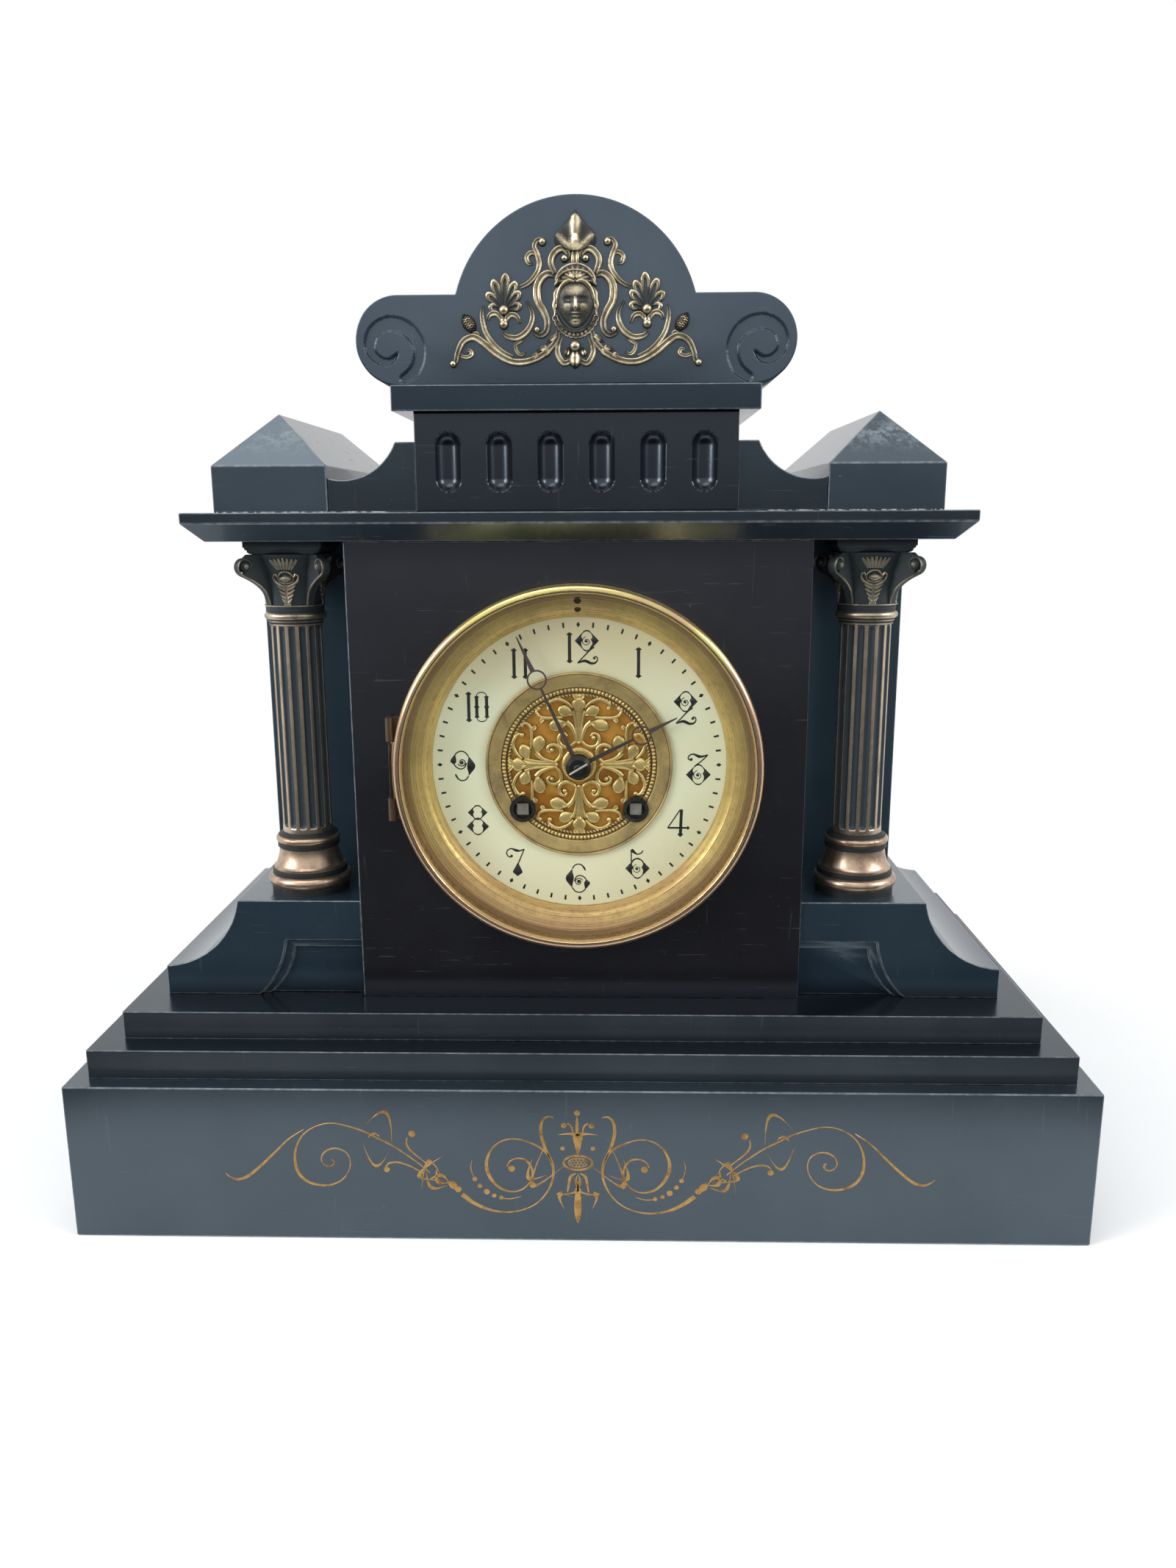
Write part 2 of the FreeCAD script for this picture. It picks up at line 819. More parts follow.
def capital(z):
    """Bell with an astragal, leaves that curl outwards, corner scrolls and a hollow abacus."""
    top = z + capital_height
    under = top - abacus_height
    neck = z + astragal_height
    lip = (capital_lip_radius, under)
    start = (capital_neck_radius, neck)
    bell = turned_z([(0, z), (astragal_radius * 0.93, z),
                     ((astragal_radius, z + astragal_height / 2),
                      (astragal_radius * 0.93, neck)),
                     start, (bulge(start, lip, capital_lip_radius / 10), lip), (0, under)],
                    column_x, column_y)
    half = abacus_half_width
    cut = half - abacus_sag
    corners = ((-1, -1), (1, -1), (1, 1), (-1, 1))
    points = []
    for index, corner in enumerate(corners):
        following = corners[(index + 1) % len(corners)]
        here = at(column_x + corner[0] * half, column_y + corner[1] * half, under)
        there = at(column_x + following[0] * half, column_y + following[1] * half, under)
        middle = at(column_x + cut * (corner[0] + following[0]) / 2,
                    column_y + cut * (corner[1] + following[1]) / 2, under)
        if index == 0:
            points.append(here)
        points.append((middle, there))
    abacus = Part.Face(outline(points)).extrude(V(0, 0, abacus_height))
    pieces = [bell, abacus]
    scroll_z = under - volute_radius * 0.72
    for corner in corners:
        lean = math.degrees(math.atan2(corner[1], corner[0]))
        disc = Part.makeCylinder(volute_radius, volute_thickness,
                                 at(volute_distance, -volute_thickness / 2, scroll_z),
                                 V(0, 1, 0))
        arm = block(capital_lip_radius / 2, volute_distance, -volute_thickness / 2,
                    volute_thickness / 2, scroll_z + volute_radius / 4,
                    scroll_z + volute_radius)
        scroll = disc.fuse(arm)
        scroll.rotate(V(0, 0, 0), V(0, 0, 1), lean)
        scroll.translate(V(column_x, column_y, 0))
        pieces.append(scroll)
    height = under - neck
    for index in range(leaf_count):
        tall = index % 2 == 0
        tip_z = neck + height * (0.74 if tall else 0.52)
        inner = capital_neck_radius - seat_clearance
        outer = capital_neck_radius + leaf_thickness
        reach = outer + leaf_curl
        leaf = outline([at(inner, 0, neck), at(outer, 0, neck),
                        (at(outer + leaf_curl / 5, 0, (neck + tip_z) / 2),
                         at(reach, 0, tip_z - leaf_thickness)),
                        (at(reach + leaf_thickness / 2, 0, tip_z - leaf_thickness / 3),
                         at(reach - leaf_thickness / 2, 0, tip_z)),
                        at(inner, 0, tip_z - leaf_thickness / 4)])
        solid = Part.Face(leaf).extrude(V(0, leaf_width, 0))
        solid.translate(V(0, -leaf_width / 2, 0))
        solid.rotate(V(0, 0, 0), V(0, 0, 1), index * 360 / leaf_count)
        solid.translate(V(column_x, column_y, 0))
        pieces.append(solid)
    return joined(pieces)


# Dial, front bezel and rear door.

def dial():
    lip = enamel_front - seat_clearance
    sight_start = (sight_outer_radius, flange_front)
    sight_end = (sight_radius, lip)
    hollow = drum_radius - drum_wall
    rebate = sight_radius + enamel_rebate
    drum_back = flange_front + drum_depth
    ring = turned_y([(flange_radius, bay_front), (flange_radius, flange_front), sight_start,
                     (bulge(sight_start, sight_end, -sight_sag), sight_end),
                     (sight_radius, enamel_front), (rebate, enamel_front),
                     (rebate, backing_back), (hollow, backing_back), (hollow, drum_back),
                     (drum_radius, drum_back), (drum_radius, bay_front)], 0, dial_z)
    pieces = [ring]
    for index in range(dial_post_count):
        angle = 45 + index * 360 / dial_post_count
        post = block(rebate - enamel_rebate, hollow + drum_wall / 2, backing_back, plate_front,
                     -dial_post_width / 2, dial_post_width / 2)
        post.rotate(V(0, 0, 0), V(0, -1, 0), angle)
        post.translate(V(0, 0, dial_z))
        pieces.append(post)
    for sign in (-1, 1):
        pieces.append(front_knuckle(sign))
    ring = joined(pieces)
    hole = rod_y(regulator_arbor_radius + running_clearance, flange_front - overrun,
                 backing_back + overrun, 0, dial_z + regulator_radius)
    save("dial_ring", ring.cut(hole))
    rim = rebate - seat_clearance
    enamel = turned_y([(enamel_inner_radius, enamel_front + seat_clearance),
                       (enamel_inner_radius, backing_front), (rim, backing_front),
                       (rim, enamel_front)], 0, dial_z)
    save("enamel_dial", enamel)
    save("dial_medallion", medallion())
    backing = rod_y(rim, backing_front, backing_back, 0, dial_z)
    backing = backing.cut(rod_y(dial_centre_hole, backing_front - overrun,
                                backing_back + overrun, 0, dial_z))
    for x in (-winding_x, winding_x):
        backing = backing.cut(rod_y(bush_radius, backing_front - overrun,
                                    backing_back + overrun, x, dial_z - winding_drop))
    save("dial_backing", backing)
    front = enamel_front - medallion_rim
    bushes = [tube_y(bush_radius, bush_bore, front, backing_back, x, dial_z - winding_drop)
              for x in (-winding_x, winding_x)]
    save("winding_bushes", *bushes)


def medallion():
    """A pressed centre: a raised rim, a beaded step and a pierced cross over the foil."""
    front = enamel_front - medallion_rim
    rim_front = enamel_front - medallion_rim * 0.75
    body = turned_y([(dial_centre_hole, front), (medallion_window_radius, front),
                     (medallion_step_radius, rim_front), (medallion_radius, rim_front),
                     (medallion_radius, enamel_front),
                     (enamel_inner_radius - seat_clearance, enamel_front),
                     (enamel_inner_radius - seat_clearance, backing_front),
                     (dial_centre_hole, backing_front)], 0, dial_z)
    outer = medallion_window_radius
    for quarter in range(4):
        lean = 45 + quarter * 90
        start = lean - 33
        end = lean + 33
        low = polar(0, 0, outer, start)
        high = polar(0, 0, outer, end)
        root = polar(0, 0, medallion_web_radius * 1.35, lean)
        window = plate_xz([root, (bulge(root, low, medallion_arm_width / 5), low),
                           (polar(0, 0, outer, lean), high),
                           (bulge(high, root, medallion_arm_width / 5), root)],
                          front - overrun, backing_front - front + 2 * overrun)
        petal = rod_y(medallion_arm_width / 2, front - 2 * overrun, backing_front + 2 * overrun,
                      *polar(0, 0, outer * 0.86, lean))
        window = window.cut(petal)
        window.translate(V(0, 0, dial_z))
        body = body.cut(window)
    seats = [rod_y(bush_radius + bush_seat_margin, front, backing_front, x,
                   dial_z - winding_drop) for x in (-winding_x, winding_x)]
    body = joined([body] + seats)
    for x in (-winding_x, winding_x):
        body = body.cut(rod_y(bush_radius, front - overrun, backing_front + overrun, x,
                              dial_z - winding_drop))
    return body


def front_hinge():
    """X and Y of the front hinge's axis."""
    return -(bezel_radius + knuckle_radius + knuckle_gap), bezel_back - knuckle_radius


def front_knuckle(sign):
    """A fixed knuckle above or below the middle one, on a lug of the dial ring's flange."""
    x, y = front_hinge()
    z0 = dial_z + sign * (front_knuckle_half + knuckle_gap)
    z1 = z0 + sign * front_knuckle_end
    low, high = min(z0, z1), max(z0, z1)
    barrel = rod_z(knuckle_radius, low, high, x, y)
    leaf = block(x - knuckle_radius, x + 2 * knuckle_gap, y, bay_front, low, high)
    lug = block(x - knuckle_radius, -flange_radius * 0.93, flange_front, bay_front, low, high)
    knuckle = joined([barrel, leaf, lug])
    return knuckle.cut(rod_z(pin_radius, low - overrun, high + overrun, x, y))


def bezel():
    """The glazed door: a rolled ring with a step inside it that holds the glass."""
    lip_front = bezel_front + bezel_lip_drop
    glass_front = lip_front + seat_clearance
    glass_back = glass_front + glass_thickness
    glass_seat = bezel_lip_radius + glass_rebate
    shoulder = (bezel_radius, bezel_back - bezel_shoulder)
    crest = (bezel_crest_radius, bezel_front)
    lip = (bezel_lip_radius, lip_front)
    ring = turned_y([(bezel_radius, bezel_back), shoulder,
                     (bulge(shoulder, crest, (bezel_radius - bezel_crest_radius) / 3), crest),
                     (bulge(crest, lip, -bezel_lip_drop / 4), lip),
                     (bezel_lip_radius, glass_front), (glass_seat, glass_front),
                     (glass_seat, bezel_back)], 0, dial_z)
    x, y = front_hinge()
    barrel = rod_z(knuckle_radius, dial_z - front_knuckle_half, dial_z + front_knuckle_half,
                   x, y)
    leaf = block(x, -bezel_radius * 0.975, y - knuckle_radius, bezel_back,
                 dial_z - front_knuckle_half, dial_z + front_knuckle_half)
    ring = joined([ring, barrel, leaf])
    ring = ring.cut(rod_z(pin_radius + running_clearance,
                          dial_z - front_knuckle_half - overrun,
                          dial_z + front_knuckle_half + overrun, x, y))
    save("bezel", ring)
    flat = bezel_lip_radius - glass_bevel
    rim = glass_seat - running_clearance
    glass = turned_y([(0, glass_front), (flat, glass_front),
                      (rim, glass_front + glass_bevel_drop), (rim, glass_back),
                      (0, glass_back)], 0, dial_z)
    save("bezel_glass", glass)


def rear_hinge():
    """X and Y of the rear hinge's axis."""
    return rear_flange_radius + knuckle_radius + knuckle_gap, door_front + knuckle_radius


def rear_door():
    rear_hole = rear_hole_radius
    inner = rear_hole - rear_ring_wall
    shelf = rear_face - rear_ring_depth
    ring = turned_y([(rear_hole, shelf), (rear_hole, case_depth),
                     (rear_flange_radius, case_depth), (rear_flange_radius, rear_face),
                     (inner, rear_face), (inner, shelf + rear_shelf_thickness),
                     (rear_opening_radius, shelf + rear_shelf_thickness),
                     (rear_opening_radius, shelf)], 0, dial_z)
    x, y = rear_hinge()
    pieces = [ring]
    for sign in (-1, 1):
        z0 = dial_z + sign * (rear_knuckle_half + knuckle_gap)
        z1 = z0 + sign * rear_knuckle_end
        low, high = min(z0, z1), max(z0, z1)
        barrel = rod_z(knuckle_radius, low, high, x, y)
        leaf = block(x - knuckle_gap, x + knuckle_radius, case_depth, y, low, high)
        lug = block(rear_flange_radius * 0.95, x + knuckle_radius, case_depth, rear_face,
                    low, high)
        knuckle = joined([barrel, leaf, lug])
        pieces.append(knuckle.cut(rod_z(pin_radius, low - overrun, high + overrun, x, y)))
    ring = joined(pieces)
    for side in (-1, 1):
        ring = ring.cut(rod_y(strap_screw_radius + running_clearance, shelf - overrun,
                              rear_face + overrun, side * strap_screw_x(), dial_z))
    save("rear_ring", ring)
    rise = door_back + door_dome_rise
    door = turned_y([(0, rise - door_thickness), (door_dome_radius / 2, rise - door_thickness),
                     (door_dome_radius, door_front), (door_radius, door_front),
                     (door_radius, door_back), (door_dome_radius, door_back),
                     (door_dome_radius / 2, rise), (0, rise)], 0, dial_z)
    knob = turned_y([(0, rise - door_thickness / 2),
                     (door_knob_radius / 2, rise - door_thickness / 2),
                     (door_knob_radius / 2, rise + door_knob_rise / 3),
                     (door_knob_radius, rise + door_knob_rise / 2),
                     (door_knob_radius * 0.6, rise + door_knob_rise),
                     (0, rise + door_knob_rise)], -door_dome_radius * 0.78, dial_z)
    knob.translate(V(0, door_back - rise, 0))
    barrel = rod_z(knuckle_radius, dial_z - rear_knuckle_half, dial_z + rear_knuckle_half, x, y)
    leaf = block(door_radius * 0.95, x, door_front, door_back,
                 dial_z - rear_knuckle_half, dial_z + rear_knuckle_half)
    door = joined([door, knob, barrel, leaf])
    door = door.cut(rod_z(pin_radius + running_clearance, dial_z - rear_knuckle_half - overrun,
                          dial_z + rear_knuckle_half + overrun, x, y))
    save("rear_door", door)
    pins = []
    for (px, py), half, end in ((front_hinge(), front_knuckle_half, front_knuckle_end),
                                (rear_hinge(), rear_knuckle_half, rear_knuckle_end)):
        reach = half + knuckle_gap + end
        pin = rod_z(pin_radius - running_clearance / 5, dial_z - reach,
                    dial_z + reach, px, py)
        head = rod_z(pin_radius + pin_head, dial_z + reach, dial_z + reach + 2 * pin_head,
                     px, py)
        pins.append(joined([pin, head]))
    save("hinge_pins", *pins)


def strap_screw_x():
    return (rear_hole_radius - rear_ring_wall + rear_opening_radius) / 2


def straps():
    """Two brass straps inside the case, riveted to the drum and screwed at the back."""
    outer = drum_radius - drum_wall - seat_clearance
    inner = outer - strap_thickness
    front = plate_front
    back = rear_face - rear_ring_depth - seat_clearance / 4
    low = dial_z - strap_width / 2
    high = dial_z + strap_width / 2
    hollow = min(outer, bay_width / 2 - bay_wall)
    rear_reach = rear_hole_radius - rear_ring_wall
    turn = back_slab_front - strap_thickness
    limb = block(inner, hollow, front, turn, low, high)
    joggle = block(rear_reach - strap_foot, hollow, turn - strap_thickness, turn, low, high)
    tail = block(rear_reach - strap_foot, rear_reach - strap_foot + strap_thickness,
                 turn - strap_thickness, back, low, high)
    foot = block(rear_reach - strap_foot, rear_reach - seat_clearance, back - strap_thickness,
                 back, low, high)
    strap = joined([limb, joggle, tail, foot])
    x = strap_screw_x()
    strap = strap.cut(rod_y(strap_screw_radius, back_slab_front, back + overrun, x, dial_z))
    shelf_back = rear_face - rear_ring_depth + rear_shelf_thickness
    shank = rod_y(strap_screw_radius - running_clearance / 5, back - strap_thickness,
                  shelf_back + seat_clearance / 4, x, dial_z)
    head = rod_y(strap_screw_head_radius, shelf_back, shelf_back + strap_screw_head_height,
                 x, dial_z)
    screw = joined([shank, head])
    save("case_straps", strap, mirrored(strap), screw, mirrored(screw))


# Movement: wheels, arbors and the places of the arbors in the plates.

def gear(place, y, width, teeth, module, lean):
    """A toothed disc with V-shaped gaps. One tooth points along lean."""
    radius = teeth * module / 2
    tip = radius + addendum_share * module
    root = radius - dedendum_share * module
    half_tip = math.degrees(tip_half_share * math.pi * module / tip)
    step = 360 / teeth
    points = []
    for index in range(teeth):
        angle = lean + index * step
        points.append(polar(*place, tip, angle - half_tip))
        points.append(polar(*place, tip, angle + half_tip))
        points.append(polar(*place, root, angle + step / 2))
    return plate_xz(points, y, width)


def meshed(wheel_place, pinion_place, pinion_teeth):
    """The leans that put a wheel tooth into a pinion gap on the line of centres."""
    lean = bearing(wheel_place, pinion_place)
    return lean, lean + 180 + 180 / pinion_teeth


def crossed_out(wheel, place, y, width, inner, outer, arms):
    """Cuts the windows between the arms of a wheel."""
    step = 360 / arms
    half_gap = step * 0.38
    for index in range(arms):
        lean = index * step
        middle = polar(*place, inner, lean)
        far = polar(*place, outer, lean)
        window = [polar(*place, inner, lean - half_gap * 0.55),
                  polar(*place, outer, lean - half_gap),
                  (far, polar(*place, outer, lean + half_gap)),
                  polar(*place, inner, lean + half_gap * 0.55),
                  (middle, polar(*place, inner, lean - half_gap * 0.55))]
        wheel = wheel.cut(plate_xz(window, y - overrun, width + 2 * overrun))
    return wheel


def arbor(place, stages):
    """A stepped shaft along Y. Each stage is a radius and the y where it starts and ends."""
    return [rod_y(radius, y0, y1, *place) for radius, y0, y1 in stages]


def between_plates(place, radius, thin_from, thin_to):
    """An arbor with both pivots, thinner where a small pinion sits."""
    front = plate_back + shoulder_gap
    back = rear_plate_front - shoulder_gap
    stages = [(pivot_radius, plate_front, front), (pivot_radius, back, rear_plate_back),
              (thin_arbor_radius, thin_from, thin_to)]
    if thin_from > front:
        stages.append((radius, front, thin_from))
    if thin_to < back:
        stages.append((radius, thin_to, back))
    return arbor(place, stages)


centre = (0, dial_z)
going_place = (winding_x, dial_z - winding_drop)
strike_place = (-winding_x, dial_z - winding_drop)
great_distance = (great_teeth + second_pinion_teeth) * great_module / 2
second_distance = (second_teeth + centre_pinion_teeth) * second_module / 2
third_distance = (centre_teeth + third_pinion_teeth) * centre_module / 2
escape_distance = (third_teeth + escape_pinion_teeth) * third_module / 2
second_place = crossing(going_place, great_distance, centre, second_distance, -1)
escape_spot = (0, dial_z + escape_height)
third_spot = crossing(centre, third_distance, escape_spot, escape_distance, 1)
pallet_spot = (0, dial_z + pallet_height)
stud_spot = (0, dial_z + (cannon_teeth + minute_wheel_teeth) * motion_module / 2)
strike_second_spot = polar(*strike_place, great_distance, strike_second_angle)
pin_distance = (strike_second_teeth + pin_pinion_teeth) * strike_second_module / 2
pin_spot = polar(*strike_second_spot, pin_distance, pin_wheel_angle)
fly_distance = (pin_teeth + fly_pinion_teeth) * pin_module / 2
fly_spot = polar(*pin_spot, fly_distance, fly_angle)
hammer_spot = polar(*pin_spot, hammer_arbor_distance, hammer_angle)
bell_spot = (0, dial_z - bell_drop)

great_front = barrel_front + barrel_length
second_front = plate_back + second_wheel_place
centre_front = plate_back + centre_wheel_place
third_front = plate_back + third_place
escape_front = plate_back + escape_place
pin_front = plate_back + pin_wheel_place
fly_front = plate_back + fly_place
minute_wheel_front = plate_front - motion_gap - motion_width
hour_wheel_front = minute_wheel_front - hour_wheel_gap - motion_width
minute_boss_back = minute_hand_front + hand_boss_height
collet_front = minute_hand_front - collet_height
suspension_z = dial_z + suspension_height
cock_front = pendulum_y - cock_slot / 2 - cock_cheek


def frame_plates():
    front = rod_y(plate_radius, plate_front, plate_back, *centre)
    pieces = [front]
    for index in range(dial_post_count):
        ear = block(plate_radius * 0.9, ear_radius, plate_front, plate_back,
                    -ear_width / 2, ear_width / 2)
        ear.rotate(V(0, 0, 0), V(0, -1, 0), 45 + index * 360 / dial_post_count)
        ear.translate(V(0, 0, dial_z))
        pieces.append(ear)
    front = joined(pieces)
    back = rod_y(plate_radius, rear_plate_front, rear_plate_back, *centre)
    pivots = (second_place, third_spot, escape_spot, strike_second_spot, pin_spot, fly_spot,
              hammer_spot, pallet_spot)
    through = 2 * overrun
    for place in pivots:
        front = front.cut(rod_y(pivot_radius + running_clearance, plate_front - through,
                                plate_back + through, *place))
    for place in pivots[:3] + pivots[4:6]:
        back = back.cut(rod_y(pivot_radius + running_clearance, rear_plate_front - through,
                              rear_plate_back + through, *place))
    for place, radius in ((strike_second_spot, arbor_radius + running_clearance),
                          (hammer_spot, arbor_radius + running_clearance),
                          (pallet_spot, 2 * pallet_arbor_radius),
                          (centre, pivot_radius + running_clearance)):
        back = back.cut(rod_y(radius, rear_plate_front - through, rear_plate_back + through,
                              *place))
    front = front.cut(rod_y(centre_arbor_radius + running_clearance, plate_front - through,
                            plate_back + through, *centre))
    for place in (going_place, strike_place):
        cutter = rod_y(barrel_arbor_radius + running_clearance, plate_front - through,
                       rear_plate_back + through, *place)
        front = front.cut(cutter)
        back = back.cut(cutter)
    pieces = [front, rod_y(minute_stud_radius, hour_wheel_front - pinion_overlap * 2,
                           plate_back, *stud_spot)]
    for angle in pillar_angles:
        pieces.append(rod_y(pillar_radius, plate_back, rear_plate_front,
                            *polar(*centre, pillar_circle, angle)))
    save("front_plate", joined(pieces))
    save("back_plate", joined([back] + bell_stand()))


def bell_stand():
    """A post on the back plate, an arm to the middle of the bell, and its screw and nut."""
    post = (bell_post_x, dial_z - bell_post_drop)
    arm_back = bell_front + bell_height / 3
    arm_front = arm_back - bell_arm_thickness
    crown = bell_front + bell_height
    run = math.dist(post, bell_spot)
    arm = block(0, run, arm_front, arm_back, -bell_post_radius, bell_post_radius)
    arm.rotate(V(0, 0, 0), V(0, -1, 0), bearing(post, bell_spot))
    arm.translate(at(post[0], 0, post[1]))
    return [rod_y(bell_post_radius, rear_plate_back, arm_back, *post), arm,
            rod_y(bell_nut_radius, arm_front, crown - bell_wall, *bell_spot),
            rod_y(bell_screw_radius, arm_front, crown + bell_nut_height, *bell_spot),
            rod_y(bell_nut_radius, crown, crown + bell_nut_height, *bell_spot)]


def bell():
    crown = bell_front + bell_height
    flat = bell_radius / 4
    rim = (bell_radius, bell_front)
    top = (flat, crown)
    inner_top = (flat, crown - bell_wall)
    inner_rim = (bell_radius - bell_wall, bell_front)
    hole = bell_screw_radius + running_clearance
    sag = bell_radius * 0.24
    shell = turned_y([inner_rim, rim, (bulge(rim, top, sag), top), (hole, crown),
                      (hole, crown - bell_wall), inner_top,
                      (bulge(inner_top, inner_rim, -sag), inner_rim)], *bell_spot)
    save("bell", shell)


def barrels():
    """The two spring barrels with their great wheels, and the arbors that wind them."""
    for node, place, pinion in (("going", going_place, second_place),
                                ("strike", strike_place, strike_second_spot)):
        lean = bearing(place, pinion)
        drum = rod_y(barrel_radius, barrel_front, great_front, *place)
        cavity = rod_y(barrel_radius - barrel_wall, barrel_front + barrel_wall,
                       great_front - barrel_wall, *place)
        wheel = gear(place, great_front, great_wheel_width, great_teeth, great_module, lean)
        barrel = joined([drum.cut(cavity), wheel])
        bore = rod_y(barrel_arbor_radius + running_clearance, barrel_front - overrun,
                     great_front + great_wheel_width + overrun, *place)
        save("going_barrel" if node == "going" else "strike_barrel", barrel.cut(bore))
        ratchet_back = plate_front - ratchet_standoff
        ratchet_front = ratchet_back - ratchet_width
        half = winding_square / 2
        square = block(place[0] - half, place[0] + half, square_front, ratchet_front,
                       place[1] - half, place[1] + half)
        shaft = rod_y(barrel_arbor_radius, ratchet_front, rear_plate_back, *place)
        core = rod_y(barrel_core_radius, barrel_front + barrel_wall + shoulder_gap,
                     great_front - barrel_wall - shoulder_gap, *place)
        step = 360 / ratchet_teeth
        points = []
        for index in range(ratchet_teeth):
            points.append(polar(*place, ratchet_radius, index * step))
            points.append(polar(*place, ratchet_root_radius, (index + 0.12) * step))
        ratchet = plate_xz(points, ratchet_front, ratchet_width)
        save("going_arbor" if node == "going" else "strike_arbor",
             joined([square, shaft, core, ratchet]))


def going_train():
    lean, back_lean = meshed(going_place, second_place, second_pinion_teeth)
    pinion_front = great_front - pinion_overlap
    pinion_width = great_wheel_width + 2 * pinion_overlap
    wheel_lean, centre_lean = meshed(second_place, centre, centre_pinion_teeth)
    wheel = gear(second_place, second_front, wheel_width, second_teeth, second_module,
                 wheel_lean)
    reach = second_teeth * second_module / 2
    wheel = crossed_out(wheel, second_place, second_front, wheel_width, reach * 0.30,
                        reach * 0.80, 4)
    pinion = gear(second_place, pinion_front, pinion_width, second_pinion_teeth, great_module,
                  back_lean)
    save("second_wheel", joined([wheel, pinion] + between_plates(
        second_place, arbor_radius, pinion_front, pinion_front + pinion_width)))

    wheel_lean, third_lean = meshed(centre, third_spot, third_pinion_teeth)
    wheel = gear(centre, centre_front, wheel_width, centre_teeth, centre_module, wheel_lean)
    reach = centre_teeth * centre_module / 2
    wheel = crossed_out(wheel, centre, centre_front, wheel_width, reach * 0.30, reach * 0.80, 4)
    pinion = gear(centre, second_front - pinion_overlap, wheel_width + 2 * pinion_overlap,
                  centre_pinion_teeth, second_module, centre_lean)
    nose_front = collet_front - arbor_nose_reach
    rear_shoulder = rear_plate_front - shoulder_gap
    shaft = arbor(centre, ((centre_arbor_radius, minute_boss_back, rear_shoulder),
                           (arbor_nose_radius, nose_front, minute_boss_back),
                           (pivot_radius, rear_shoulder, rear_plate_back)))
    whole = joined([wheel, pinion] + shaft)
    hole = taper_pin(taper_pin_radius + running_clearance, overrun)
    save("centre_wheel", whole.cut(hole))

    wheel_lean, escape_lean = meshed(third_spot, escape_spot, escape_pinion_teeth)
    wheel = gear(third_spot, third_front, wheel_width, third_teeth, third_module, wheel_lean)
    reach = third_teeth * third_module / 2
    wheel = crossed_out(wheel, third_spot, third_front, wheel_width, reach * 0.30,
                        reach * 0.80, 4)
    pinion_front = centre_front - pinion_overlap
    pinion_back = centre_front + wheel_width + pinion_overlap
    pinion = gear(third_spot, pinion_front, pinion_back - pinion_front, third_pinion_teeth,
                  centre_module, third_lean)
    save("third_wheel", joined([wheel, pinion] + between_plates(
        third_spot, arbor_radius, plate_back + shoulder_gap, pinion_back + wheel_width)))

    step = 360 / escape_teeth
    points = []
    for index in range(escape_teeth):
        angle = index * step
        points.append(polar(*escape_spot, escape_radius, angle))
        points.append(polar(*escape_spot, escape_root_radius, angle + step * 0.20))
        points.append(polar(*escape_spot, escape_root_radius, angle + step * 0.80))
    wheel = plate_xz(points, escape_front, wheel_width)
    wheel = crossed_out(wheel, escape_spot, escape_front, wheel_width, escape_radius * 0.28,
                        escape_radius * 0.76, 4)
    pinion_front = third_front - pinion_overlap
    pinion_back = third_front + wheel_width + pinion_overlap
    pinion = gear(escape_spot, pinion_front, pinion_back - pinion_front, escape_pinion_teeth,
                  third_module, escape_lean)
    save("escape_wheel", joined([wheel, pinion] + between_plates(
        escape_spot, arbor_radius, pinion_front - wheel_width, pinion_back + wheel_width)))


